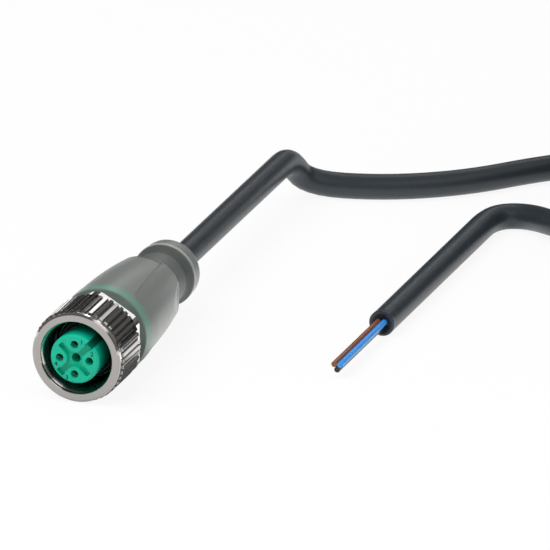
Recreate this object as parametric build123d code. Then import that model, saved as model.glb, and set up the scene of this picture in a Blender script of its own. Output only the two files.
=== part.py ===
from build123d import *
import math
import os

# A straight female M12 cordset: socket connector, moulded grip, cable and stripped end.
# The connector lies along Y. Its mating end faces -Y, and the face of the coupling nut is at y = 0.
# All sizes are in millimetres.

# Coupling nut
nut_outer_radius = 7.55
nut_length = 9.85
nut_face_inner_radius = 6.0
nut_face_chamfer = 0.3
nut_ring_radius = 7.3
nut_ring_length = 1.0
nut_thread_radius = 5.9
nut_thread_length = 6.2
nut_relief_radius = 6.2
nut_hex_across_flats = 13.6
nut_hex_length = 1.55
nut_rear_chamfer = 0.2
groove_count = 48
groove_top_width = 0.46
groove_floor_width = 0.2
groove_floor_radius = 7.26

# Contact carrier
nose_radius = 4.0
nose_proud = 0.65
nose_edge_round = 0.3
flange_front = 5.9
flange_radius = 5.05
flange_length = 1.5
bearing_radius = 4.4
carrier_rear = 11.6
contact_circle_radius = 2.45
entry_radius = 0.65
entry_depth = 1.0
contact_bore_clearance = 0.02
centre_hole_radius = 0.75
centre_hole_depth = 3.0
cross_arm_width = 1.0
cross_arm_reach = 3.3
cross_depth = 0.8
island_radius = 1.23
wide_arm_width = 1.35
wide_arm_start = 2.75
wide_arm_reach = 3.6
key_width = 1.25
key_floor_radius = 3.0

# Sealing ring
seal_seat_radius = 3.8
seal_seat_length = 1.1
seal_cord_radius = 0.5
seal_clearance = 0.02

# Socket contacts
contact_radius = 0.8
contact_pin_radius = 0.49
contact_pin_depth = 6.5
contact_slit_width = 0.2
contact_slit_length = 4.0
contact_rear = 13.0
cup_depth = 2.2
cup_bore_radius = 0.32

# Insulated wires
conductor_radius = 0.3
wire_radius = 0.475
wire_gap = 0.02
wire_front = 13.4
wire_straight = 0.9
jacket_front = 19.5
lead_length = 19.8

# Running clearances of the nut
bearing_clearance = 0.08
axial_play = 0.2

# Inner moulding under the grip
inner_front_radius = 5.6
inner_flange_setback = 0.8
inner_flange_front = 11.3
inner_flange_length = 2.0
inner_body_radius = 5.0
inner_taper_start = 20.5
inner_rear_radius = 3.2
inner_rear = 24.5

# Grip
grip_gap = 0.3
grip_face_radius = 6.3
grip_rim_setback = 0.27
grip_rim_y = 11.7
grip_middle_setback = 0.31
grip_middle_y = 19.0
grip_shoulder_radius = 6.15
grip_shoulder_y = 30.4
grip_shoulder_round = 1.1
panel_step = 0.26
panel_front_half_width = 4.2
panel_rear_half_width = 2.7
panel_front_y = 14.8
panel_rear_y = 29.8
arrow_x = 5.15
arrow_y = 13.5
arrow_rear_x = 7.9
arrow_rear_y = 17.6
slot_length = 0.65
slot_depth = 0.6
flank_front_setback = 0.19
flank_front_y = 15.0
flank_middle_x = 6.62
flank_middle_y = 25.0
flank_rear_x = 5.3
flank_rear_y = 30.4
neck_front_radius = 4.55
neck_rear_radius = 4.4
neck_front = 32.4
neck_rear = 36.2
collar_flare_rise = 0.2
collar_flare_length = 1.5
collar_front = 38.4
collar_radius = 5.14
collar_ring_length = 0.8
collar_groove_radius = 4.72
collar_groove_length = 0.35
collar_rear_ring_radius = 5.0
collar_rear_round = 0.9
grip_rear = 41.8

# Cable
cable_radius = 2.05
floor_z = -nut_outer_radius
lying_z = floor_z + cable_radius
lead_route = [
    (0, grip_rear, 0),
    (0, 94.2, 0),
    (1.2, 98.2, lying_z),
    (13.6, 100.4, lying_z),
    (25.0, 107.2, lying_z),
    (33.9, 117.4, lying_z),
    (43.4, 124.9, lying_z),
    (53.0, 131.4, lying_z),
]
tail_route = [
    (59.3, 86.5, lying_z),
    (47.8, 89.7, lying_z),
    (39.4, 96.9, lying_z),
    (34.1, 94.4, lying_z),
    (34.1, 44.0, lying_z),
]
corner_share = 0.45

# Coil of the cable that the camera does not see
coil_centre_x = 67.6
coil_centre_y = 110.0
coil_mean_radius = 20.5
coil_columns = 3
coil_layers = 5
tie_angles = [70, 290]
tie_width = 2.6
tie_thickness = 0.6
tie_head_length = 4.2
tie_head_width = 4.4
tie_head_height = 1.4

parts = {}


def front_plane(y):
    """A sketch plane at height y along the axis, seen from the mating end: sketch x is X and sketch y is Z."""
    return Plane(origin=(0, y, 0), x_dir=(1, 0, 0), z_dir=(0, -1, 0))


def prism(sketch, start, end):
    """A sketch in the XZ plane, carried along Y from start to end."""
    return extrude(front_plane(end) * sketch, amount=end - start)


def turned(*lines):
    """A closed profile of (radius, y) lines, turned about the Y axis."""
    profile = lines[0]
    for line in lines[1:]:
        profile = profile + line
    return revolve(make_face(profile), Axis.Y)


def turned_points(*points):
    return turned(Polyline(*points, close=True))


def rod(radius, start, end, x=0, z=0):
    """A round bar along Y at (x, z)."""
    return prism(Pos(x, z) * Circle(radius), start, end)


def arc_runs(route):
    """The largest fillet for each corner: the given share of the shorter run, over the tangent of half the turn."""
    radii = []
    for before, corner, after in zip(route, route[1:], route[2:]):
        run_in = Vector(*corner) - Vector(*before)
        run_out = Vector(*after) - Vector(*corner)
        half_turn = math.radians(run_in.get_angle(run_out)) / 2
        shorter = min(run_in.length, run_out.length)
        radii.append(corner_share * shorter / math.tan(half_turn))
    return radii


def tube(route, radius):
    """A round bar along straight runs that are joined by tangent arcs."""
    path = FilletPolyline(*route, radius=arc_runs(route))
    start = Plane(origin=path @ 0, z_dir=path % 0)
    return sweep(start * Circle(radius), path=path), path


# Coupling nut: a turned blank with a threaded bore, a bearing flange, knurl grooves and a hex band
flange_rear = flange_front + flange_length
nut_relief_end = flange_rear + axial_play
nut_bore_radius = bearing_radius + bearing_clearance
nut_bore_chamfer = nut_face_inner_radius - nut_thread_radius
nut_face_outer_radius = nut_ring_radius - nut_face_chamfer
ridge_rise = nut_outer_radius - nut_ring_radius
nut_blank = turned_points(
    (nut_face_inner_radius, 0),
    (nut_face_outer_radius, 0),
    (nut_ring_radius, nut_face_chamfer),
    (nut_ring_radius, nut_ring_length),
    (nut_outer_radius, nut_ring_length + ridge_rise),
    (nut_outer_radius, nut_length - nut_rear_chamfer),
    (nut_outer_radius - nut_rear_chamfer, nut_length),
    (nut_bore_radius, nut_length),
    (nut_bore_radius, nut_relief_end),
    (nut_relief_radius, nut_relief_end),
    (nut_relief_radius, nut_thread_length),
    (nut_thread_radius, nut_thread_length),
    (nut_thread_radius, nut_bore_chamfer),
)
hex_start = nut_length - nut_hex_length
groove_outer_radius = nut_outer_radius + groove_top_width
groove_slope = (groove_top_width - groove_floor_width) / 2 / (nut_outer_radius - groove_floor_radius)
groove_outer_half = groove_top_width / 2 + groove_slope * groove_top_width
groove = make_face(
    Polyline(
        (groove_floor_radius, -groove_floor_width / 2),
        (groove_floor_radius, groove_floor_width / 2),
        (groove_outer_radius, groove_outer_half),
        (groove_outer_radius, -groove_outer_half),
        close=True,
    )
)
grooves = Sketch() + [Rot(0, 0, 360 / groove_count * (k + 0.5)) * groove for k in range(groove_count)]
hexagon = RegularPolygon(nut_hex_across_flats / 2, 6, major_radius=False, rotation=30)
hex_waste = Circle(2 * nut_outer_radius) - hexagon
parts["coupling_nut"] = (
    nut_blank
    - prism(grooves, nut_ring_length / 2, hex_start)
    - prism(hex_waste, hex_start, nut_length + 1)
)

# Contact carrier: the nose with its key groove, the flange in front of the nut's flange, and the bearing
contact_places = {
    1: (0, contact_circle_radius),
    2: (contact_circle_radius, 0),
    3: (0, -contact_circle_radius),
    4: (-contact_circle_radius, 0),
}
wired_contacts = {1: "brown", 3: "blue", 4: "black"}
seal_seat_front = flange_front - seal_seat_length
carrier = turned_points(
    (0, -nose_proud),
    (nose_radius - nose_edge_round, -nose_proud),
    (nose_radius, nose_edge_round - nose_proud),
    (nose_radius, seal_seat_front),
    (seal_seat_radius, seal_seat_front),
    (seal_seat_radius, flange_front),
    (flange_radius, flange_front),
    (flange_radius, flange_rear),
    (bearing_radius, flange_rear),
    (bearing_radius, carrier_rear),
    (0, carrier_rear),
)
cross_inner_radius = contact_circle_radius * math.sin(math.pi / 4)
cross = Circle(cross_inner_radius) - [Pos(*place) * Circle(island_radius) for place in contact_places.values()]
cross_arm = RectangleRounded(2 * cross_arm_reach, cross_arm_width, cross_arm_width / 5)
wide_arm_length = wide_arm_reach - wide_arm_start
wide_arm = Pos(-wide_arm_reach + wide_arm_length / 2, 0) * Rectangle(wide_arm_length, wide_arm_width)
key = Pos(key_floor_radius + nose_radius / 2, 0) * Rectangle(nose_radius, key_width)
recess = cross + Rot(0, 0, -45) * cross_arm + Rot(0, 0, 45) * cross_arm + Rot(0, 0, 45) * wide_arm
cross_floor = cross_depth - nose_proud
carrier -= prism(recess, -nose_proud - 1, cross_floor)
carrier -= prism(Rot(0, 0, 45) * key, -nose_proud - 1, flange_front)
carrier -= rod(centre_hole_radius, -nose_proud, centre_hole_depth)
contact_front = entry_depth - nose_proud
contact_bore_radius = contact_radius + contact_bore_clearance
for number, (x, z) in contact_places.items():
    if number in wired_contacts:
        carrier -= rod(entry_radius, -nose_proud - 1, contact_front, x, z)
        carrier -= rod(contact_bore_radius, contact_front, carrier_rear + 1, x, z)
    else:
        carrier -= rod(entry_radius, -nose_proud - 1, contact_front + contact_pin_depth, x, z)
parts["contact_carrier"] = carrier

# Sealing ring in its seat at the foot of the nose
seal_y = flange_front - seal_cord_radius - seal_clearance
seal_centre_radius = seal_seat_radius + seal_cord_radius + seal_clearance
seal_section = Pos(seal_centre_radius, seal_y) * Circle(seal_cord_radius)
parts["sealing_ring"] = revolve(seal_section, Axis.Y)

# Socket contacts with two slits each and a solder cup, and the wires that end in them
bundle_radius = (wire_radius + wire_gap / 2) / math.cos(math.pi / 6)
bundle_angles = {"brown": 90, "blue": -30, "black": 210}
wire_ends = []
for number, colour in wired_contacts.items():
    x, z = contact_places[number]
    contact = rod(contact_radius, contact_front, contact_rear, x, z)
    contact -= rod(contact_pin_radius, contact_front - 1, contact_front + contact_pin_depth, x, z)
    contact -= rod(cup_bore_radius, contact_rear - cup_depth, contact_rear + 1, x, z)
    slit = Pos(x, z) * Rectangle(3 * contact_radius, contact_slit_width)
    contact -= prism(slit, contact_front - 1, contact_front + contact_slit_length)
    parts[f"contact_{number}"] = contact
    conductor = rod(conductor_radius, contact_rear - cup_depth + 0.1, wire_front, x, z)
    parts[f"conductor_{number}"] = conductor
    angle = math.radians(bundle_angles[colour])
    wire_route = [
        (x, wire_front, z),
        (x, wire_front + wire_straight, z),
        (bundle_radius * math.cos(angle), jacket_front - wire_straight, bundle_radius * math.sin(angle)),
        (bundle_radius * math.cos(angle), jacket_front, bundle_radius * math.sin(angle)),
    ]
    wire, _ = tube(wire_route, wire_radius)
    parts[f"wire_{colour}_inner"] = wire
    wire_ends += [contact, conductor, wire]

cable_in_grip = rod(cable_radius, jacket_front, grip_rear)
parts["cable_in_grip"] = cable_in_grip

# Inner moulding: it holds the carrier, the soldered wires and the end of the cable
inner_front = nut_length + grip_gap
inner_flange_radius = nut_outer_radius - inner_flange_setback
inner_flange_rear = inner_flange_front + inner_flange_length
inner_envelope = turned_points(
    (0, inner_front),
    (inner_front_radius, inner_front),
    (inner_front_radius, inner_flange_front),
    (inner_flange_radius, inner_flange_front),
    (inner_flange_radius, inner_flange_rear),
    (inner_body_radius, inner_flange_rear),
    (inner_body_radius, inner_taper_start),
    (inner_rear_radius, inner_rear),
    (0, inner_rear),
)
carrier_seat = rod(bearing_radius, inner_front - 1, carrier_rear)
inner = inner_envelope - carrier_seat - cable_in_grip
for piece in wire_ends:
    inner -= piece
parts["inner_moulding"] = inner

# Grip: a barrel with a raised panel above and below, flattened flanks, a neck and a double-ringed collar
grip_rim_radius = nut_outer_radius - grip_rim_setback
grip_middle_radius = nut_outer_radius - grip_middle_setback
flank_front_x = nut_outer_radius - flank_front_setback


def barrel(lower_by):
    """The grip's barrel, with its surface lowered behind the rim."""
    rear_y = grip_shoulder_y + grip_shoulder_round
    shoulder_radius = grip_shoulder_radius - lower_by
    return turned(
        Polyline(
            (0, rear_y),
            (0, inner_front),
            (grip_face_radius - lower_by, inner_front),
            (grip_rim_radius - lower_by, grip_rim_y),
        ),
        ThreePointArc(
            (grip_rim_radius - lower_by, grip_rim_y),
            (grip_middle_radius - lower_by, grip_middle_y),
            (shoulder_radius, grip_shoulder_y),
        ),
        RadiusArc(
            (shoulder_radius, grip_shoulder_y),
            (shoulder_radius - grip_shoulder_round, rear_y),
            -grip_shoulder_round,
        ),
        Line((shoulder_radius - grip_shoulder_round, rear_y), (0, rear_y)),
    )


def plan(*lines):
    """A plan outline on its right half, mirrored, and carried through the grip's height."""
    outline = lines[0]
    for line in lines[1:]:
        outline = outline + line
    half = make_face(outline)
    return extrude(half + mirror(half, Plane.YZ), amount=2 * grip_rim_radius, both=True)


panel_plan = plan(
    Polyline(
        (0, inner_front - 1),
        (arrow_rear_x, inner_front - 1),
        (arrow_rear_x, arrow_rear_y),
        (arrow_x, arrow_y),
        (panel_front_half_width, panel_front_y),
        (panel_rear_half_width, panel_rear_y),
        (0, panel_rear_y),
        close=True,
    )
)
flank_plan = plan(
    Polyline(
        (flank_rear_x, flank_rear_y),
        (flank_rear_x - grip_shoulder_round, grip_rear),
        (0, grip_rear),
        (0, inner_front - 1),
        (2 * flank_front_x, inner_front - 1),
        (flank_front_x, flank_front_y),
    ),
    Spline((flank_front_x, flank_front_y), (flank_middle_x, flank_middle_y), (flank_rear_x, flank_rear_y)),
)
body = (barrel(0) & panel_plan) + barrel(panel_step)
slot_half_length = slot_length / 2
slot_top = grip_rim_radius + 1
slot_floor = grip_shoulder_radius - slot_depth
for side in (1, -1):
    slot = Box(2 * panel_rear_half_width, slot_length, slot_top - slot_floor)
    body -= Pos(0, panel_rear_y + slot_half_length, side * (slot_top + slot_floor) / 2) * slot
body = body & flank_plan

collar_ring_end = collar_front + collar_ring_length
collar_groove_end = collar_ring_end + collar_groove_length
neck_start = grip_shoulder_y - 1
rear_round_y = grip_rear - collar_rear_round
neck = turned(
    Polyline(
        (0, neck_start),
        (neck_front_radius + 1, neck_start),
        (neck_front_radius + 1, grip_shoulder_y),
    ),
    Line((neck_front_radius + 1, grip_shoulder_y), (neck_front_radius, neck_front)),
    Line((neck_front_radius, neck_front), (neck_rear_radius, neck_rear)),
    ThreePointArc(
        (neck_rear_radius, neck_rear),
        (neck_rear_radius + collar_flare_rise, neck_rear + collar_flare_length),
        (collar_radius, collar_front),
    ),
    Polyline(
        (collar_radius, collar_front),
        (collar_radius, collar_ring_end),
        (collar_groove_radius, collar_ring_end),
        (collar_groove_radius, collar_groove_end),
        (collar_rear_ring_radius, collar_groove_end),
        (collar_rear_ring_radius, rear_round_y),
    ),
    RadiusArc(
        (collar_rear_ring_radius, rear_round_y),
        (collar_rear_ring_radius - collar_rear_round, grip_rear),
        -collar_rear_round,
    ),
    Polyline((collar_rear_ring_radius - collar_rear_round, grip_rear), (0, grip_rear), (0, neck_start)),
)
parts["grip"] = body + neck - inner_envelope - cable_in_grip

# Cable: the lead behind the grip, the coil, the tail with its stripped end, and the coil's ties
cable_diameter = 2 * cable_radius
coil_width = coil_columns * cable_diameter
coil_height = coil_layers * cable_diameter
coil_place = Pos(coil_centre_x, coil_centre_y, floor_z)


def coil_section(inset):
    """The bundle of turns in section beside the coil's axis. One turn is missing at its outer top."""
    side = coil_width / 2 - inset
    top = coil_height - inset
    missing = cable_diameter - (2 - math.sqrt(2)) * inset
    outline = Polyline(
        (-side, inset),
        (side, inset),
        (side, top - missing),
        (side - missing, top),
        (-side, top),
        close=True,
    )
    section = make_face(outline)
    return Plane.XZ * Pos(coil_mean_radius, 0) * fillet(section.vertices(), cable_radius - inset)


coil_envelope = coil_place * revolve(coil_section(0), Axis.Z)
tie_band = coil_section(0) - coil_section(tie_thickness)
tie_turn = math.degrees(tie_width / coil_mean_radius)
ties = []
for angle in tie_angles:
    band = Rot(0, 0, angle - tie_turn / 2) * revolve(tie_band, Axis.Z, revolution_arc=tie_turn)
    head_place = Pos(coil_mean_radius, 0, coil_height + tie_head_height / 2)
    head = Rot(0, 0, angle) * head_place * Box(tie_head_length, tie_head_width, tie_head_height)
    ties.append(coil_place * (band + head))
lead_tube, lead_path = tube(lead_route, cable_radius)
tail_tube, tail_path = tube(tail_route, cable_radius)
parts["cable_lead"] = lead_tube - coil_envelope
parts["cable_coil"] = coil_envelope - ties[0] - ties[1]
parts["coil_ties"] = Compound(children=ties)
parts["cable_tail"] = tail_tube - coil_envelope

end_x, end_y, end_z = tail_route[-1]
lead_angles = {"brown": 150, "blue": 30, "black": 270}
for colour, angle in lead_angles.items():
    x = end_x + bundle_radius * math.cos(math.radians(angle))
    z = end_z + bundle_radius * math.sin(math.radians(angle))
    parts[f"lead_{colour}"] = rod(wire_radius, end_y - lead_length, end_y, x, z)

for name, route, solid, path in (
    ("lead", lead_route, lead_tube, lead_path),
    ("tail", tail_route, tail_tube, tail_path),
):
    section = math.pi * cable_radius**2
    print(name, "radii", [round(r, 1) for r in arc_runs(route)], "length", round(path.length, 2))
    print(name, "volume", round(solid.volume, 2), "section times length", round(section * path.length, 2))

os.makedirs("parts", exist_ok=True)
for name, piece in parts.items():
    export_step(piece, f"parts/{name}.step")
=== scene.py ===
# %% [markdown]
# A straight female cordset: a round connector with a knurled metal nut, a green socket insert and a grey
# moulded grip, and a black cable that ends in three stripped wires. The CAD model holds every solid piece at
# its real size. This lesson adds what CAD leaves out: the cable as one smooth curve, the nut's thread, the
# pin numbers, the cable ties in full, and a finish for each surface. The CAD pieces are loaded first and
# are never moved, so everything else can take its place from them. They could be modelled again here, but
# then the sizes would have to be kept twice.

# %% Load the CAD frame
import math

import bmesh
import bpy
from mathutils import Matrix, Vector


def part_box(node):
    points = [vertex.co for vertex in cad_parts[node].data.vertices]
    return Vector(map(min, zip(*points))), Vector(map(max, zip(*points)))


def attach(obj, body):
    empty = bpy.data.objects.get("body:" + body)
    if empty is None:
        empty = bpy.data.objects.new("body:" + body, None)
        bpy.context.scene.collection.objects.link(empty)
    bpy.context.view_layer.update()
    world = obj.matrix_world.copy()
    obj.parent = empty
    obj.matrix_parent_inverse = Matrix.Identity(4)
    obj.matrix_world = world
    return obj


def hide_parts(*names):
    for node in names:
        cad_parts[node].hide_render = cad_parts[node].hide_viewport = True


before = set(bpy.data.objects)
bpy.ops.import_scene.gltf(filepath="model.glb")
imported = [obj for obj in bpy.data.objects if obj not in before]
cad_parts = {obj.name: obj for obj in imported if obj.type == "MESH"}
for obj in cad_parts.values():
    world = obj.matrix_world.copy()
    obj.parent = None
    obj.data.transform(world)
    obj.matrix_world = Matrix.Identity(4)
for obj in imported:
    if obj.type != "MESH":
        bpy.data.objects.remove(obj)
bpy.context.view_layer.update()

MM = 0.001
print("CAD pieces:", len(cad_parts))

# %% [markdown]
# A few faces of the CAD pieces set the places of the new ones: the floor under the coil, the rear of the
# grip, the cut end of the cable and the face of the insert. They could be typed in, but read from the frame
# they stay right when a size changes. A mesh keeps only some seven digits of a number, so what is read is
# rounded to a micrometre.

# %% Places from the frame


def to_micrometre(length):
    return round(length, 6)


floor_height = to_micrometre(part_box("cable_coil")[0].z)
grip_rear = to_micrometre(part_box("grip")[1].y)
jacket_end_y = to_micrometre(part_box("cable_tail")[0].y)
nose_face_y = to_micrometre(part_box("contact_carrier")[0].y)
print("floor and grip's rear in m:", floor_height, grip_rear)
print("cut end and insert's face in m:", jacket_end_y, nose_face_y)

# %% [markdown]
# The camera stands far away behind a very long lens, because the photograph shows almost no perspective: the
# two parallel stretches of cable stay parallel. An orthographic camera could do, but the long lens keeps the
# little perspective that there is. Its two angles come from the round parts of the connector, which show as
# ellipses, and its target is the place that falls on the middle of the picture.

# %% Camera
view_azimuth = math.radians(20.51)
view_elevation = math.radians(20.81)
view_target = Vector((11.57, 56.96, -5.0)) * MM
picture_width = 86.09 * MM
lens_length = 1650
sensor_width = 36
to_camera = Vector((0, -math.cos(view_elevation), math.sin(view_elevation)))
to_camera.rotate(Matrix.Rotation(view_azimuth, 3, "Z"))
camera_distance = picture_width * lens_length / sensor_width
camera_data = bpy.data.cameras.new("camera")
camera_data.lens = lens_length
camera_data.sensor_width = sensor_width
camera_data.clip_start = 0.2 * camera_distance
camera_data.clip_end = 4 * camera_distance
camera = bpy.data.objects.new("camera", camera_data)
bpy.context.scene.collection.objects.link(camera)
camera.location = view_target + to_camera * camera_distance
camera.rotation_euler = (-to_camera).to_track_quat("-Z", "Y").to_euler()
bpy.context.scene.camera = camera
print("camera distance:", round(camera_distance, 2), "m")

# %% [markdown]
# The cable leaves the grip straight, hooks down to the floor, runs out of the picture into a coil, and comes
# back as the second stretch, where it is cut. A few points are enough outside the coil, because a smooth
# curve rounds the corners between them. They are the route of the CAD model, in millimetres, and one more
# point before each bend keeps the long stretch straight.

# %% Cable route outside the coil
cable_radius = 2.05 * MM
lying_height = floor_height + cable_radius
pulled_back = 0.2 * MM


def on_floor(x, y, lift=0.0):
    """A route point in millimetres, for cable that lies on the floor or a little above it."""
    return Vector((x * MM, y * MM, lying_height + lift * MM))


lead_route = [
    Vector((0, grip_rear, 0)),
    Vector((0, 87.6 * MM, 0)),
    Vector((0, 94.2 * MM, 0)),
    on_floor(1.2, 98.2),
    on_floor(13.6, 100.4),
    on_floor(25.0, 107.2),
    on_floor(33.9, 117.4),
    on_floor(43.4, 124.9),
    on_floor(53.0, 131.4),
]
tail_route = [
    on_floor(59.3, 86.5, lift=4.0),
    on_floor(47.8, 89.7, lift=1.7),
    on_floor(39.4, 96.9),
    on_floor(34.1, 94.4),
    on_floor(34.1, 85.0),
    Vector((34.1 * MM, jacket_end_y + pulled_back, lying_height)),
]
print("route points outside the coil:", len(lead_route) + len(tail_route))

# %% [markdown]
# The coil holds the length that the picture doesn't show. Its turns lie three wide and five high. A plain
# spiral would be easier, but a wound coil isn't one: each turn keeps its place, and a short crossing takes
# the cable to the next place, one column or one layer further. Where the direction changes, the crossing
# comes a little earlier than the last one, so that the turns don't run into each other.

# %% Where each turn lies
turn_places = [(2, 0), (1, 0), (0, 0), (0, 1), (0, 2), (0, 3), (0, 4)]
turn_places += [(1, 4), (1, 3), (2, 3), (2, 2), (1, 2), (1, 1), (2, 1)]
middle_column = 1
middle_layer = 2
first_crossing = 340
crossing_lead = 12

crossings = [first_crossing]
for before, here, after in zip(turn_places, turn_places[1:], turn_places[2:]):
    turns_corner = (here[0] == before[0]) != (after[0] == here[0])
    crossings.append(crossings[-1] + 360 - crossing_lead * turns_corner)
print("places:", len(turn_places), "crossings in degrees of travel:", crossings)

# %% [markdown]
# A point of the coil follows from how far the cable has travelled round it. The eased step makes each
# crossing a soft S instead of a kink. Near a tie the turns are pressed together by the thickness of the
# strap, fully up to 8 degrees from it and less and less up to 22, so the ties don't have to cut into them.
# The control points of a curve lie outside it, hence the cosine under the radius.

# %% Points of the coil
coil_centre = Vector((67.6, 110.0, 0)) * MM
coil_mean_radius = 20.5 * MM
bundle_half_width = (2 * middle_column + 1) * cable_radius
bundle_height = 2 * (2 * middle_layer + 1) * cable_radius
entry_angle = 105
coil_travel = 4875
coil_step = 15
crossing_width = 50
tie_angles = [70, 290]
tie_thickness = 0.6 * MM
squeeze_full = 8.4
squeeze_end = 22.4


def eased(share):
    """A step from 0 to 1 that starts and ends softly."""
    share = min(1.0, max(0.0, share))
    return share * share * (3 - 2 * share)


def squeeze_at(angle):
    """How far the ties press the outermost turns inwards at that angle."""
    squeeze = 0.0
    for tie in tie_angles:
        off_tie = math.degrees(math.acos(math.cos(angle - math.radians(tie))))
        squeeze += eased((squeeze_end - off_tie) / (squeeze_end - squeeze_full)) * tie_thickness
    return squeeze


def coil_point(travel):
    """The cable's centre after so many degrees of travel round the coil."""
    column, layer = turn_places[0]
    for crossing, here, there in zip(crossings, turn_places, turn_places[1:]):
        done = eased((travel - crossing) / crossing_width + 0.5)
        column += done * (there[0] - here[0])
        layer += done * (there[1] - here[1])
    angle = math.radians(entry_angle - travel)
    across = (column - middle_column) * (2 * cable_radius - squeeze_at(angle) / middle_column)
    above = (layer - middle_layer) * (2 * cable_radius - squeeze_at(angle) / middle_layer)
    radius = (coil_mean_radius + across) / math.cos(math.radians(coil_step / 2))
    height = floor_height + bundle_height / 2 + above
    return coil_centre + Vector((radius * math.cos(angle), radius * math.sin(angle), height))


coil_route = [coil_point(travel) for travel in range(0, coil_travel + 1, coil_step)]
print("coil points:", len(coil_route), "turns:", round(coil_travel / 360, 1))

# %% [markdown]
# A real cable is one piece that bends gently, so the whole route is one NURBS curve. A swept tube of straight
# runs and arcs would look like bent wire. A point's radius times the bevel depth is the cable's radius.
# Blender adds the points' radii to a curve's box, so the points hold the real radius and the bevel depth is
# 1. The curve stands for the three plain CAD solids.

# %% The cable as one curve
cable_route = lead_route + coil_route + tail_route
cable_curve = bpy.data.curves.new("cable", "CURVE")
cable_curve.dimensions = "3D"
cable_line = cable_curve.splines.new("NURBS")
cable_line.points.add(len(cable_route) - 1)
for point, place in zip(cable_line.points, cable_route):
    point.co = (*place, 1)
    point.radius = cable_radius
cable_line.order_u = 3
cable_line.use_endpoint_u = True
cable_line.resolution_u = 6
cable_curve.bevel_depth = 1.0
cable_curve.bevel_resolution = 6
cable_curve.use_fill_caps = True
cable = bpy.data.objects.new("cable", cable_curve)
bpy.context.scene.collection.objects.link(cable)
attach(cable, "connector")
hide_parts("cable_lead", "cable_coil", "cable_tail")
print("control points:", len(cable_route), "drawn length in m:", round(cable_line.calc_length(), 3))

# %% [markdown]
# The remaining pieces are meshes, and they are all made the same way: rings of corners that are joined by
# faces. A lathe modifier or a curve's bevel could do some of them, but rings give the exact corners that a
# cut jacket, a strap and a thread need. One helper joins the rings, and another one puts the mesh on its CAD
# body.

# %% Mesh helpers


def skin(made, rings, closed):
    """Joins each ring of corners to the next one. An open skin gets a face at each end."""
    following = rings[1:] + rings[:1] if closed else rings[1:]
    for here, there in zip(rings, following):
        for k in range(len(here)):
            nxt = (k + 1) % len(here)
            made.faces.new((here[k], here[nxt], there[nxt], there[k]))
    if not closed:
        made.faces.new(rings[0])
        made.faces.new(rings[-1])
    bmesh.ops.recalc_face_normals(made, faces=made.faces)


def add_piece(name, made, body, smooth=True):
    """A mesh object under that name, riding on a body of the CAD frame."""
    mesh = bpy.data.meshes.new(name)
    made.to_mesh(mesh)
    made.free()
    mesh.polygons.foreach_set("use_smooth", [smooth] * len(mesh.polygons))
    piece = bpy.data.objects.new(name, mesh)
    bpy.context.scene.collection.objects.link(piece)
    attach(piece, body)
    print(f"{name}: {len(mesh.polygons)} faces on {body}")
    return piece


# %% [markdown]
# The jacket is cut square at the stripped end. A cut jacket isn't a flat disc: the edge is a little round,
# and the filler round the wires has drawn back behind the wall. The curve's own end cap can't show that, so a
# turned ring covers it. It is a profile carried round the cable's axis, as on a lathe.

# %% Cut end of the jacket
cable_end = Vector((tail_route[-1].x, jacket_end_y, lying_height))
jacket_wall = 0.55 * MM
edge = 0.12 * MM
proud = 0.02 * MM
wall_lean = 0.05 * MM
filler_y = jacket_end_y + 0.18 * MM
overlap_y = jacket_end_y + 0.9 * MM
middle_hole = 0.03 * MM
end_steps = 64
end_profile = [
    (cable_radius + proud, overlap_y),
    (cable_radius + proud, jacket_end_y + edge),
    (cable_radius - 0.3 * edge, jacket_end_y + 0.3 * edge),
    (cable_radius - edge, jacket_end_y),
    (cable_radius - jacket_wall, jacket_end_y),
    (cable_radius - jacket_wall - wall_lean, filler_y),
    (middle_hole, filler_y),
    (middle_hole, overlap_y),
]
cut_end = bmesh.new()
end_rings = []
for step in range(end_steps):
    angle = 2 * math.pi * step / end_steps
    spokes = [(radius * math.cos(angle), y, radius * math.sin(angle)) for radius, y in end_profile]
    end_rings.append([cut_end.verts.new((cable_end.x + x, y, cable_end.z + z)) for x, y, z in spokes])
skin(cut_end, end_rings, closed=True)
jacket_end = add_piece("jacket_end", cut_end, "connector")

# %% [markdown]
# Two cable ties hold the coil. A tie is a flat nylon strap that runs round the bundle, through a square head
# and out again, with teeth across its loose end. Every flat part of it is a band along a path. A curve with a
# bevel object could make the bands too, but it would need a second curve for each width.

# %% A flat band


def add_band(made, path, width, thickness, closed=False):
    """Adds a flat band along (outward, up) points. Its width lies across them."""
    rings = []
    for k, (out, up) in enumerate(path):
        following = path[(k + 1) % len(path)] if closed or k + 1 < len(path) else path[k]
        previous = path[k - 1] if closed or k else path[k]
        along = Vector((following[0] - previous[0], 0, following[1] - previous[1])).normalized()
        outward = Vector((along.z, 0, -along.x)) * thickness / 2
        middle = Vector((out, 0, up))
        across = Vector((0, width / 2, 0))
        corners = [middle + outward - across, middle + outward + across]
        corners += [middle - outward + across, middle - outward - across]
        rings.append([made.verts.new(corner) for corner in corners])
    skin(made, rings, closed)


print("a band has 4 corners for each point of its path")

# %% [markdown]
# A strap pulled tight takes the outline of what it holds, which is a rectangle with a corner cut off, because
# one turn is missing at its outer top. Each corner is rounded by the outermost cable there. A hull round the
# turns would give the same outline with many more points, and seven on each corner are enough for a strap
# this small.

# %% Outline of the bundle
arc_steps = 6


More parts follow.
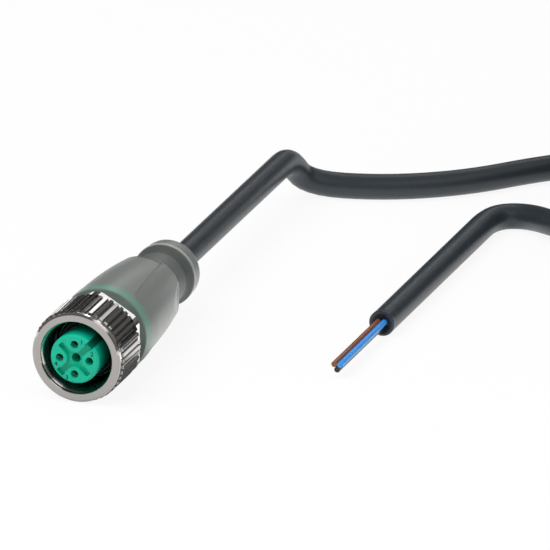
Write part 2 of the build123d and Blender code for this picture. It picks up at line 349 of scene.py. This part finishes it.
def bundle_outline(inset):
    """The rounded outline of the bundle of turns, as (outward, up) points."""
    side = bundle_half_width - inset
    top = bundle_height - inset
    missing = 2 * cable_radius - (2 - math.sqrt(2)) * inset
    radius = cable_radius - inset
    spots = [(side, top - missing), (side, inset), (-side, inset), (-side, top), (side - missing, top)]
    corners = [Vector(spot) for spot in spots]
    outline = []
    for before, corner, after in zip(corners[-1:] + corners, corners, corners[1:] + corners[:1]):
        back = (before - corner).normalized()
        ahead = (after - corner).normalized()
        half_angle = back.angle(ahead) / 2
        middle = corner + (back + ahead).normalized() * radius / math.sin(half_angle)
        spoke = corner + back * radius / math.tan(half_angle) - middle
        for step in range(arc_steps + 1):
            turned_by = -(math.pi - 2 * half_angle) * step / arc_steps
            outline.append(middle + Matrix.Rotation(turned_by, 2) @ spoke)
    return [tuple(place) for place in outline]


print("points round the bundle:", len(bundle_outline(tie_thickness / 2)))

# %% [markdown]
# The head is a small moulded block with a slot that the strap passes through. It is a scaled cube with an
# inset face pushed in for the slot and bevelled edges. A boolean could cut the slot, but an inset leaves
# cleaner faces.

# %% Head of a tie
head_length = 4.2 * MM
head_width = 4.4 * MM
head_height = 1.4 * MM
slot_wall = 0.38 * MM
slot_depth = 1.6 * MM
head_edge = 0.12 * MM


def tie_head():
    """The square head with its slot, round its own middle."""
    made = bmesh.new()
    bmesh.ops.create_cube(made, size=1)
    bmesh.ops.scale(made, vec=(head_length, head_width, head_height), verts=made.verts)
    front = max(made.faces, key=lambda face: face.calc_center_median().x)
    bmesh.ops.inset_individual(made, faces=[front], thickness=slot_wall)
    bmesh.ops.translate(made, vec=(-slot_depth, 0, 0), verts=front.verts)
    bmesh.ops.bevel(made, geom=made.edges[:], offset=head_edge, segments=2, affect="EDGES")
    return made


print("head in mm:", [round(v / MM, 1) for v in (head_length, head_width, head_height)])

# %% [markdown]
# One tie is four pieces: the band round the bundle, the head on top of it, the loose end that leaves the head
# in a slight upward curve, and its teeth. The pieces are made upright at the origin, outward along X, and a
# matrix then takes them to their place on the coil, which is easier than working out every corner round the
# coil.

# %% One tie
tie_width = 2.6 * MM
head_out = -1.6 * MM
head_up = bundle_height + head_height / 2
loose_points = 33
loose_step = 0.25 * MM
loose_rise = 0.002 * MM
loose_path = [(head_out + loose_step * k, head_up + loose_rise * k * k) for k in range(loose_points)]
loose_width = tie_width - 0.3 * MM
loose_thickness = 0.55 * MM
first_tooth = 9
tooth_count = 22
toothed_path = loose_path[first_tooth : first_tooth + tooth_count]
tooth_half_length = 0.06 * MM
tooth_up = 0.33 * MM
tooth_width = tie_width - 1.1 * MM
tooth_height = 0.14 * MM


def tie_meshes():
    """The four meshes of a tie by name, upright at the origin."""
    band = bmesh.new()
    add_band(band, bundle_outline(tie_thickness / 2), tie_width, tie_thickness, closed=True)
    head = tie_head()
    bmesh.ops.translate(head, vec=(head_out, 0, head_up), verts=head.verts)
    loose_end = bmesh.new()
    add_band(loose_end, loose_path, loose_width, loose_thickness)
    teeth = bmesh.new()
    for out, up in toothed_path:
        tooth_path = [(out - tooth_half_length, up + tooth_up), (out + tooth_half_length, up + tooth_up)]
        add_band(teeth, tooth_path, tooth_width, tooth_height)
    return {"band": band, "head": head, "loose_end": loose_end, "teeth": teeth}


print("teeth on each tie:", len(toothed_path))

# %% [markdown]
# The ties sit on both sides of the coil, where a person would put them. The second tie could be a linked copy
# of the first, but the meshes are small, and made anew they keep the origin of the CAD model like every other
# piece. The first band stands for the two plain ties of the CAD model.

# %% Both ties on the coil
tie_pieces = []
for number, tie_angle in enumerate(tie_angles, 1):
    coil_foot = Matrix.Translation(coil_centre + Vector((0, 0, floor_height)))
    round_coil = Matrix.Rotation(math.radians(tie_angle), 4, "Z")
    to_coil = coil_foot @ round_coil @ Matrix.Translation((coil_mean_radius, 0, 0))
    for part_name, made in tie_meshes().items():
        bmesh.ops.transform(made, matrix=to_coil, verts=made.verts)
        piece = add_piece(f"tie_{number}_{part_name}", made, "connector", smooth=False)
        tie_pieces.append(piece)
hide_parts("coil_ties")
print("tie pieces:", len(tie_pieces))

# %% [markdown]
# The real cable is 2 m long, which is usual for such a cordset. Its far end is bare.

# %% [markdown]
# The nut has an inside thread with a pitch of 1 mm. It could be bump, but it shows in the nut's mouth, and
# its ridge catches the light. A thread is one ridge that climbs round the bore, so it is a small trapezium
# carried along a helix. At both ends it rises slowly out of the wall, as a cut thread does.

# %% Thread inside the nut
thread_pitch = 1.0 * MM
thread_bore_radius = 5.9 * MM
thread_crest_radius = 5.46 * MM
thread_start_y = 0.35 * MM
thread_end_y = 6.0 * MM
foot_radius = thread_bore_radius + 0.03 * MM
foot_half_width = 0.47 * MM
crest_half_width = 0.08 * MM
narrowest = 0.3
steps_per_turn = 72
runout_steps = 0.7 * steps_per_turn
thread_steps = round((thread_end_y - thread_start_y) / thread_pitch * steps_per_turn)


def thread_section(step):
    """The four corners of the ridge after so many steps round the bore."""
    angle = 2 * math.pi * step / steps_per_turn
    y = thread_start_y + thread_pitch * step / steps_per_turn
    risen = eased(min(step, thread_steps - step) / runout_steps)
    crest = thread_bore_radius - risen * (thread_bore_radius - thread_crest_radius)
    width_share = narrowest + (1 - narrowest) * risen
    corners = [(foot_radius, -foot_half_width), (crest, -crest_half_width)]
    corners += [(crest, crest_half_width), (foot_radius, foot_half_width)]
    return [(r * math.cos(angle), y + shift * width_share, r * math.sin(angle)) for r, shift in corners]


thread = bmesh.new()
thread_rings = []
for step in range(thread_steps + 1):
    thread_rings.append([thread.verts.new(corner) for corner in thread_section(step)])
skin(thread, thread_rings, closed=False)
add_piece("nut_thread", thread, "nut", smooth=False)
print("thread turns:", round(thread_steps / steps_per_turn, 1))

# %% [markdown]
# Small raised numbers beside the holes tell which contact is which. A font already knows the shapes of the
# digits, so they are text objects and not drawn outlines. A very small thickness lets them catch some light,
# their strokes are a little bolder than the font's, and they sink into the insert's face by less than a hair.

# %% Pin numbers
digit_size = 1.05 * MM
digit_thickness = 0.012 * MM
digit_boldness = 0.012 * MM
digit_sunk = 0.01 * MM
digit_places = {1: (1.22, 2.96), 2: (2.91, 1.2), 3: (-1.25, -3.17), 4: (-3.04, -1.14)}
digits = []
for number, (x, z) in digit_places.items():
    text = bpy.data.curves.new(f"pin_number_{number}", "FONT")
    text.body = str(number)
    text.size = digit_size
    text.extrude = digit_thickness
    text.offset = digit_boldness
    text.align_x = "CENTER"
    text.align_y = "CENTER"
    digit = bpy.data.objects.new(f"pin_number_{number}", text)
    bpy.context.scene.collection.objects.link(digit)
    digit.location = (x * MM, nose_face_y - digit_sunk, z * MM)
    digit.rotation_euler = (math.radians(90), 0, 0)
    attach(digit, "connector")
    digits.append(digit)
print("digits:", [digit.name for digit in digits])

# %% [markdown]
# A finish is a network of shader nodes. Writing it node by node hides the idea, so a small class wraps an
# output socket and lets plain arithmetic add the nodes. Numbers go through Math nodes. The reflected forms,
# such as the one for 1 - mask, let a plain number stand on the left. Every other node comes from one method.

# %% Shader arithmetic


def feed(socket, value):
    """Links a flow to a socket, or sets the number or colour on it."""
    if isinstance(value, Flow):
        socket.id_data.links.new(value.socket, socket)
    else:
        socket.default_value = value


class Flow:
    """An output socket of a shader node that arithmetic turns into further nodes."""

    def __init__(self, socket):
        self.socket = socket

    def node(self, kind, settings=None, inputs=None, output=0):
        """Any other node of the same tree: its settings first, then the values or links of its sockets."""
        made = self.socket.node.id_data.nodes.new(kind)
        for name, value in (settings or {}).items():
            setattr(made, name, value)
        for name, value in (inputs or {}).items():
            feed(made.inputs[name], value)
        return Flow(made.outputs[output])

    def math(self, operation, first, second=0.0):
        """A Math node on two flows or numbers."""
        return self.node("ShaderNodeMath", {"operation": operation}, {0: first, 1: second})

    def __add__(self, other):
        return self.math("ADD", self, other)

    def __sub__(self, other):
        return self.math("SUBTRACT", self, other)

    def __rsub__(self, other):
        return self.math("SUBTRACT", other, self)

    def __mul__(self, other):
        return self.math("MULTIPLY", self, other)

    def __pow__(self, other):
        return self.math("POWER", self, other)

    __radd__ = __add__
    __rmul__ = __mul__


print("a flow turns +, -, * and ** into Math nodes")

# %% [markdown]
# A mask is a number from 0 to 1 that says where on the piece something happens, such as dirt in a groove. It
# could be painted on an image, but a place along the axis or a distance from it is exact and needs no image.
# A smooth rise is softer than a hard step, as real edges are.

# %% Masks


def axis(place, letter):
    """One coordinate of a place: X, Y or Z."""
    return place.node("ShaderNodeSeparateXYZ", inputs={0: place}, output="XYZ".index(letter))


def rise(value, low, high):
    """0 below low and 1 above high, with a smooth rise between."""
    sockets = {"Value": value, "From Min": low, "From Max": high}
    return value.node("ShaderNodeMapRange", {"interpolation_type": "SMOOTHSTEP"}, sockets)


def zone(value, low, high, soft):
    """1 from low to high, fading to 0 over the soft width outside them."""
    return rise(value, low - soft, low) * (1 - rise(value, high, high + soft))


def larger(first, second):
    """The larger of two masks, which is both of them together."""
    return first.math("MAXIMUM", first, second)


print("masks: rise, zone and larger")

# %% [markdown]
# Noise breaks up a plain surface, and a bump turns it into grain. Colours are mixed by Mix nodes, because a
# Math node would turn them grey. A colour is written as a picture shows it, from 0 to 255, and then turned
# into the linear one that a shader takes.

# %% Noise, colours and bump


def noise(place, scale, detail=2.0, stretch=(1, 1, 1)):
    """Soft random values from 0 to 1. A stretch below 1 draws them out along that axis."""
    spread = place.node("ShaderNodeVectorMath", {"operation": "MULTIPLY"}, {0: place, 1: stretch})
    return place.node("ShaderNodeTexNoise", inputs={"Vector": spread, "Scale": scale, "Detail": detail})


def blend(mask, first, second):
    """The first colour where the mask is 0 and the second where it is 1."""
    return mask.node("ShaderNodeMix", {"data_type": "RGBA"}, {0: mask, 6: first, 7: second}, output=2)


def bump(height, strength, distance):
    """A normal that leans as a surface of that height would."""
    sockets = {"Height": height, "Strength": strength, "Distance": distance}
    return height.node("ShaderNodeBump", inputs=sockets)


def srgb(red, green, blue):
    """A colour of a picture as the linear colour of a shader."""
    shares = [level / 255 for level in (red, green, blue)]
    return (*[((s + 0.055) / 1.055) ** 2.4 if s > 0.04045 else s / 12.92 for s in shares], 1)


print("middle grey, linear:", round(srgb(128, 128, 128)[0], 3))

# %% [markdown]
# Every finish starts from the Principled shader, which covers metal, plastic and rubber. What is the same all
# over is set on its own sockets. What changes over the surface is fed by the place on the object, in metres.

# %% New finish


def new_finish(name, **constants):
    """A material, its Principled shader and the place on the object."""
    material = bpy.data.materials.new(name)
    material.use_nodes = True
    shader = material.node_tree.nodes["Principled BSDF"]
    for socket, value in constants.items():
        feed(shader.inputs[socket.replace("_", " ")], value)
    place = Flow(material.node_tree.nodes.new("ShaderNodeTexCoord").outputs["Object"])
    return material, shader, place


def wear(material, *names):
    """Gives a finish to CAD nodes or to pieces of the scene."""
    for name in names:
        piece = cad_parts[name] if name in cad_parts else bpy.data.objects[name]
        if not piece.material_slots:
            piece.data.materials.append(material)
        for material_slot in piece.material_slots:
            material_slot.material = material
    print(f"{material.name}: {len(material.node_tree.nodes)} nodes, on {', '.join(names)}")


print("CAD pieces that need a finish:", sum(not node.hide_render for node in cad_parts.values()))

# %% [markdown]
# Nickel plate on a turned brass nut is bright but not a mirror. The masks say where shade is painted on the
# plate: the knurl, the floors of its grooves, the ring in front and the bore. They come from the distance to
# the nut's axis and the place along it, and since the nut turns about that axis, they turn with it.

# %% Masks on the nut
knurl_front = 1.0 * MM
knurl_rear = 8.3 * MM
outside_radius = 6.6 * MM
groove_floor_radius = 7.28 * MM
groove_top_radius = 7.5 * MM
bore_radius = 6.3 * MM
mask_edge = 0.1 * MM

nickel, shader, place = new_finish("nickel_plate", Metallic=1.0)
along = axis(place, "Y")
from_axis = (axis(place, "X") ** 2 + axis(place, "Z") ** 2) ** 0.5
outside = rise(from_axis, outside_radius, outside_radius + mask_edge)
knurl = zone(along, knurl_front, knurl_rear, 1.5 * mask_edge) * outside
groove_floor = knurl * (1 - rise(from_axis, groove_floor_radius, groove_top_radius))
front_ring = 1 - rise(along, 0.15 * MM, 0.35 * MM)
bore = (1 - rise(from_axis, bore_radius, bore_radius + mask_edge)) * rise(along, 0.5 * MM, 0.8 * MM)
print("knurl from", knurl_front / MM, "to", knurl_rear / MM, "mm")

# %% [markdown]
# The knurl and the ring in front are painted a little darker, and the floors of the grooves much darker: this
# is painted shade. The grooves are also rougher, where the plating is thinner. The bore is painted dark, as
# the shade of a place that little light reaches. The front face has fine rings from the lathe, some 0.3 mm
# apart: a sine of the distance to the axis, as bump. They could be modelled, but they are so shallow that
# only the gloss shows them.

# %% Nickel finish
lathe_ring_density = 22000
clouds = noise(place, 900, detail=3)
plate = blend(clouds, srgb(228, 224, 220), srgb(238, 235, 231))
# Painted shade: the ring in front, the knurl, the groove floors and the bore are darker.
plate = blend(0.9 * front_ring, plate, srgb(180, 175, 172))
plate = blend(0.8 * knurl, plate, srgb(166, 164, 162))
plate = blend(0.75 * groove_floor, plate, srgb(70, 68, 68))
plate = blend(0.95 * bore, plate, srgb(46, 54, 50))
feed(shader.inputs["Base Color"], plate)
feed(shader.inputs["Roughness"], 0.09 + 0.06 * clouds + 0.16 * groove_floor)
lathe_rings = from_axis.math("SINE", lathe_ring_density * from_axis) * (1 - rise(along, 0.1 * MM, 0.2 * MM))
feed(shader.inputs["Normal"], bump(0.5 * lathe_rings + noise(place, 5000), 0.08, 0.02 * MM))
wear(nickel, "coupling_nut", "nut_thread")

# %% [markdown]
# The insert is a moulded plastic of a strong green. One flat colour would look like paint: real plastic has a
# faint mottle, its gloss wanders, and light goes a short way into it, which is what subsurface scattering
# does. Towards the inside of the nut it is painted darker, as shade.

# %% Green insert finish
insert_green, shader, place = new_finish(
    "insert_green", Subsurface_Weight=0.12, Subsurface_Scale=0.6 * MM, Specular_IOR_Level=0.3
)
mottle = noise(place, 700, detail=3)
green = blend(mottle, srgb(8, 182, 148), srgb(16, 200, 164))
# Painted shade: darker towards the inside of the nut.
shade_deep_in_nut = rise(axis(place, "Y"), 0.0, 5.0 * MM)
feed(shader.inputs["Base Color"], blend(0.4 * shade_deep_in_nut, green, srgb(14, 130, 100)))
feed(shader.inputs["Roughness"], 0.3 + 0.15 * mottle)
feed(shader.inputs["Normal"], bump(noise(place, 6000, detail=3), 0.1, 0.02 * MM))
wear(insert_green, "contact_carrier")

# %% [markdown]
# Under the grip lies a green moulding that holds the wires. It is hidden, but it gets its own paler green,
# because the part can be taken apart in another scene.

# %% Inner moulding finish
inner_green, shader, place = new_finish("inner_green", Subsurface_Weight=0.1, Subsurface_Scale=0.6 * MM)
mottle = noise(place, 600)
feed(shader.inputs["Base Color"], blend(mottle, srgb(40, 150, 118), srgb(58, 170, 136)))
feed(shader.inputs["Roughness"], 0.4 + 0.1 * mottle)
wear(inner_green, "inner_moulding")

# %% [markdown]
# The numbers are of the insert's plastic, but they show dark, because their steep sides hold the shadow. At
# this size a darker colour does that better than light could.

# %% Digit finish
digit_green, shader, place = new_finish("digit_green")
feed(shader.inputs["Base Color"], blend(noise(place, 3000), srgb(2, 46, 34), srgb(6, 62, 46)))
feed(shader.inputs["Roughness"], 0.45 + 0.1 * noise(place, 2000))
wear(digit_green, *[digit.name for digit in digits])

# %% [markdown]
# The grip is a grey plastic that lets some light through. The parts of it that look different are named
# first, by the places along the axis where they start and end: the cone in front, the glowing band near it,
# the neck, the flare, ring and groove of the collar, and the slot behind the top panel.

# %% Places along the grip
cone_end = 11.4 * MM
glow_start = (cone_end, 12.2 * MM)
glow_end = (12.6 * MM, 14.4 * MM)
slot_range = (28.9 * MM, 30.4 * MM)
slot_half_width = 2.7 * MM
neck_range = (31.6 * MM, 38.0 * MM)
flare_range = (36.9 * MM, 38.3 * MM)
ring_range = (38.4 * MM, 39.15 * MM)
groove_range = (39.22 * MM, 39.55 * MM)
print("neck, flare, ring and groove in mm:")
print([round(v / MM, 2) for v in (*neck_range, *flare_range, *ring_range, *groove_range)])

# %% [markdown]
# Each mask is one of these ranges with a soft edge. The glow is weaker below and on the far side. A little
# noise moves its edges, so that it isn't a drawn line. The slot lies only in the top of the grip, so its mask
# also asks for the width and the height.

# %% Masks on the grip
grip_grey, shader, place = new_finish("grip_grey", Subsurface_Weight=0.06, Subsurface_Scale=0.8 * MM)
along = axis(place, "Y")
across = axis(place, "X")
height = axis(place, "Z")
front_cone = 1 - rise(along, cone_end, cone_end + 0.4 * MM)
wandering = along + (noise(place, 250) - 0.5) * (0.7 * MM)
glow = rise(wandering, *glow_start) * (1 - rise(wandering, *glow_end))
glow = glow * (0.35 + 0.65 * rise(height, -6 * MM, 3 * MM)) * (0.7 + 0.3 * rise(across, -6 * MM, 0.0))
underside = 1 - rise(height, -3 * MM, 2.5 * MM)
neck = zone(along, *neck_range, 0.5 * MM)
collar_flare = zone(along, *flare_range, 0.3 * MM)
collar_ring = zone(along, *ring_range, 0.08 * MM)
collar_groove = zone(along, *groove_range, 0.06 * MM)
panel_slot = zone(along, *slot_range, 0.1 * MM) * zone(across, -slot_half_width, slot_half_width, 0.1 * MM)
panel_slot = panel_slot * rise(height, 4.2 * MM, 4.6 * MM)
print("nodes in the grip's masks:", len(grip_grey.node_tree.nodes))

# %% [markdown]
# Near the nut the grip is thin, so the green moulding under it glows through as a soft band. Real
# translucency could make that band, but only with much longer renders, so it is a colour here. The underside
# is painted paler, as the light of the table that comes into the plastic. Shade is painted too: on the cone
# in front, where the nut's shadow lies, and darker in the neck, the flare, the groove and the slot. The ring
# of the collar gets a painted highlight.

# %% Grey grip finish
speckle = noise(place, 2500, detail=4)
grey = blend(speckle, srgb(121, 125, 122), srgb(129, 133, 129))
# Painted light and shade: a paler underside, a darker cone, neck, flare, groove and slot, and a lighter
# collar ring as a painted highlight.
grey = blend(0.85 * underside, grey, srgb(176, 179, 175))
grey = blend(0.85 * glow, grey, srgb(104, 158, 138))
grey = blend(front_cone, grey, srgb(88, 100, 94))
grey = blend(0.8 * neck, grey, srgb(94, 98, 96))
grey = blend(0.7 * collar_flare, grey, srgb(66, 72, 69))
grey = blend(0.8 * collar_ring, grey, srgb(172, 175, 171))
grey = blend(0.75 * larger(collar_groove, panel_slot), grey, srgb(48, 52, 50))
feed(shader.inputs["Base Color"], grey)
feed(shader.inputs["Roughness"], 0.33 + 0.08 * speckle + 0.15 * neck)
feed(shader.inputs["Normal"], bump(speckle + 0.6 * noise(place, 9000), 0.04, 0.03 * MM))
wear(grip_grey, "grip")

# %% [markdown]
# The cable's jacket is matt polyurethane. It looks plain from far away, but a low light shows a fine orange
# peel and slow waves from the extruder. Both are bump, because they are far too shallow to change the
# outline.

# %% Cable jacket finish
jacket_black, shader, place = new_finish("jacket_black")
peel = noise(place, 1800, detail=4)
feed(shader.inputs["Base Color"], blend(peel, srgb(39, 46, 52), srgb(49, 56, 61)))
feed(shader.inputs["Roughness"], 0.36 + 0.14 * peel)
feed(shader.inputs["Normal"], bump(peel + 0.5 * noise(place, 300), 0.12, 0.04 * MM))
wear(jacket_black, "cable", "jacket_end", "cable_in_grip")

# %% [markdown]
# The wires have a thin insulation in the three colours that such a cable has. The recipe is the same for
# each, so one function makes all three, with a small change of tone along the wire.

# %% Wire insulation finishes


def insulation(colour, dark, light):
    """The finish of one wire, on its stripped end and on its part inside the grip."""
    material, shader, place = new_finish(f"wire_{colour}")
    tone = noise(place, 500)
    feed(shader.inputs["Base Color"], blend(tone, dark, light))
    feed(shader.inputs["Roughness"], 0.32 + 0.06 * tone)
    feed(shader.inputs["Normal"], bump(noise(place, 3000), 0.03, 0.02 * MM))
    wear(material, f"lead_{colour}", f"wire_{colour}_inner")


insulation("brown", srgb(132, 74, 46), srgb(152, 88, 58))
insulation("blue", srgb(50, 146, 234), srgb(64, 164, 248))
insulation("black", srgb(34, 34, 37), srgb(44, 44, 47))

# %% [markdown]
# Deep in the holes sit the contacts. They are plated brass, but what the eye sees there is mostly the green
# of the hole in the metal. A half metallic surface with a greenish tint shows that from any side, without
# many bounces of light.

# %% Contact finish
contact_metal, shader, place = new_finish("contact_plate", Metallic=0.5)
worn = noise(place, 1500)
feed(shader.inputs["Base Color"], blend(worn, srgb(128, 168, 146), srgb(150, 184, 160)))
feed(shader.inputs["Roughness"], 0.35 + 0.15 * worn)
wear(contact_metal, "contact_1", "contact_3", "contact_4")

# %% [markdown]
# The bare ends inside are strands of copper. Modelled strands would be lost in there, so each end is one
# solid, and a noise that is stretched along the wire makes the strands as bump and as streaks of tone.

# %% Copper finish
copper, shader, place = new_finish("copper_strands", Metallic=1.0)
strands = noise(place, 2400, stretch=(1, 0.05, 1))
feed(shader.inputs["Base Color"], blend(strands, srgb(176, 104, 70), srgb(222, 150, 112)))
feed(shader.inputs["Roughness"], 0.3 + 0.15 * strands)
feed(shader.inputs["Normal"], bump(strands, 0.4, 0.05 * MM))
wear(copper, "conductor_1", "conductor_3", "conductor_4")

# %% [markdown]
# The sealing ring is black rubber with a faint grey bloom, which is wax that comes out of it. It shows only
# as a change of tone and gloss.

# %% Rubber finish
seal_rubber, shader, place = new_finish("seal_rubber")
bloom = noise(place, 1200)
feed(shader.inputs["Base Color"], blend(bloom, srgb(30, 30, 30), srgb(44, 44, 44)))
feed(shader.inputs["Roughness"], 0.5 + 0.2 * bloom)
wear(seal_rubber, "sealing_ring")

# %% [markdown]
# The ties are black nylon. They could share the jacket's finish, but real ones are smoother and glossier, and
# that lets them stand out from the turns under them.

# %% Nylon finish
tie_nylon, shader, place = new_finish("tie_nylon")
grain = noise(place, 1500)
feed(shader.inputs["Base Color"], blend(grain, srgb(26, 26, 27), srgb(36, 36, 37)))
feed(shader.inputs["Roughness"], 0.3 + 0.15 * grain)
wear(tie_nylon, *[piece.name for piece in tie_pieces])
print("finishes:", len(bpy.data.materials))

# %% [markdown]
# The object lies on a plain white floor, a single large face. A white world alone would give the same
# background, but nothing would catch the shadow.

# %% Floor
floor_size = 6
floor_mesh = bmesh.new()
bmesh.ops.create_grid(floor_mesh, x_segments=1, y_segments=1, size=floor_size)
floor_data = bpy.data.meshes.new("floor")
floor_mesh.to_mesh(floor_data)
floor_mesh.free()
floor = bpy.data.objects.new("floor", floor_data)
bpy.context.scene.collection.objects.link(floor)
floor.location = (0, 0, floor_height)
print("floor at", round(floor_height / MM, 2), "mm")

# %% [markdown]
# A white floor never renders quite white under plain light, and more light would spoil the object's colours.
# So the floor is pale by itself, and the camera sees it mostly as plain white, with a small share of the lit
# floor that keeps the shadow. Metal shows what is round it: its reflections see the open floor as bright, and
# the strip right beside the nut as dark, a painted shade where the nut's own shadow lies, which gives the
# knurl its dark side.

# %% Floor finish
floor_tone = 0.88
camera_tone = 1.02
camera_share = 0.88
open_tone = 1.4
reflected_share = 0.9


def rays(tree):
    """1 for a ray that the camera sent, and 1 for a ray that a glossy surface sent."""
    path = tree.nodes.new("ShaderNodeLightPath")
    return Flow(path.outputs["Is Camera Ray"]), Flow(path.outputs["Is Glossy Ray"])


floor_white, shader, spot = new_finish("floor_white", Roughness=0.9, Specular_IOR_Level=0.0)
feed(shader.inputs["Base Color"], (floor_tone, floor_tone, floor_tone, 1))
camera_ray, glossy_ray = rays(floor_white.node_tree)
from_nut = (axis(spot, "X") ** 2 + axis(spot, "Y") ** 2) ** 0.5
open_floor = larger(rise(from_nut, 70 * MM, 100 * MM), rise(axis(spot, "Y"), 18 * MM, 26 * MM))
# Painted shade: reflections see the floor beside the nut as dark.
shade_beside_nut = zone(axis(spot, "X"), -20 * MM, 20 * MM, 6 * MM) * zone(axis(spot, "Y"), 9 * MM, 19 * MM, 4 * MM)
shown = camera_share * camera_ray + reflected_share * glossy_ray * larger(open_floor, shade_beside_nut)
tone = blend(glossy_ray, (camera_tone, camera_tone, camera_tone, 1), (open_tone, open_tone, open_tone, 1))
tone = blend(glossy_ray * shade_beside_nut, tone, srgb(84, 84, 84))
white = tone.node("ShaderNodeEmission", inputs={"Color": tone})
lit_floor = Flow(shader.outputs[0])
mixed = shown.node("ShaderNodeMixShader", inputs={0: shown, 1: lit_floor, 2: white})
feed(floor_white.node_tree.nodes["Material Output"].inputs["Surface"], mixed)
floor.data.materials.append(floor_white)
print("floor tone:", floor_tone, "in reflections:", open_tone)

# %% [markdown]
# The light on the object is that of a plain studio: one large soft lamp above and in front on the left, and a
# weak one on the right that opens the shadows. Reflections don't see the lamps, because a square lamp in a
# curved metal face would look like a sticker.

# %% Studio lamps
lamp_distance = 0.7
lamp_aim = Vector((15, 50, 0)) * MM


def soft_lamp(name, direction, power, size):
    """A square lamp that looks at the object from that direction."""
    lamp_data = bpy.data.lights.new(name, "AREA")
    lamp_data.energy = power
    lamp_data.size = size
    lamp = bpy.data.objects.new(name, lamp_data)
    bpy.context.scene.collection.objects.link(lamp)
    toward = Vector(direction).normalized()
    lamp.location = lamp_aim + toward * lamp_distance
    lamp.rotation_euler = (-toward).to_track_quat("-Z", "Y").to_euler()
    lamp.visible_glossy = False
    print(f"{name}: {power} W, {size} m wide")


soft_lamp("top_lamp", (-0.25, -0.45, 0.85), power=3.2, size=0.6)
soft_lamp("side_lamp", (0.9, -0.3, 0.3), power=0.5, size=0.4)

# %% [markdown]
# Polished metal shows the room and not its own colour, so the room needs bright and dark parts. Here they are
# panels in the world, which only reflections see. Each panel spans some degrees round the connector's axis,
# because a groove of the knurl mirrors just a narrow slice of the room. They could be real lamps or cards,
# but then they would also light the object. All other light gets an even pale room, and the camera sees plain
# white.

# %% Room
room_light = 0.45
panel_edge = 3
world = bpy.data.worlds.new("studio_room")
bpy.context.scene.world = world
world.use_nodes = True
camera_ray, glossy_ray = rays(world.node_tree)
direction = Flow(world.node_tree.nodes.new("ShaderNodeTexCoord").outputs["Generated"])
angle_round = direction.math("ARCTAN2", axis(direction, "Z"), axis(direction, "X"))
degrees_round = angle_round * (180 / math.pi)
left_panel = 2.4 * zone(degrees_round, 102, 112, panel_edge)
middle_panel = zone(degrees_round, 70, 76, panel_edge)
low_panel = 2.4 * zone(degrees_round, -8, 6, panel_edge)
dark_left = rise(degrees_round, 126, 136)
back_wall = 0.15 - 0.1 * dark_left + left_panel + middle_panel + low_panel
front_panel = zone(axis(direction, "X"), 0.25, 0.6, 0.1) * zone(axis(direction, "Z"), 0.6, 0.85, 0.1)
front_wall = 0.18 + 1.1 * front_panel
behind = rise(axis(direction, "Y"), 0.2, 0.5)
room = behind * back_wall + (1 - behind) * front_wall
level = camera_ray + (1 - camera_ray) * (glossy_ray * room + (1 - glossy_ray) * room_light)
background = world.node_tree.nodes["Background"]
feed(background.inputs["Color"], (1, 1, 1, 1))
feed(background.inputs["Strength"], level)
print("nodes in the room:", len(world.node_tree.nodes))

# %% [markdown]
# The Standard view shows a colour as it is written. A filmic view would be softer in the highlights, but it
# would turn the white background grey.

# %% View
bpy.context.scene.view_settings.view_transform = "Standard"
print("view:", bpy.context.scene.view_settings.view_transform)
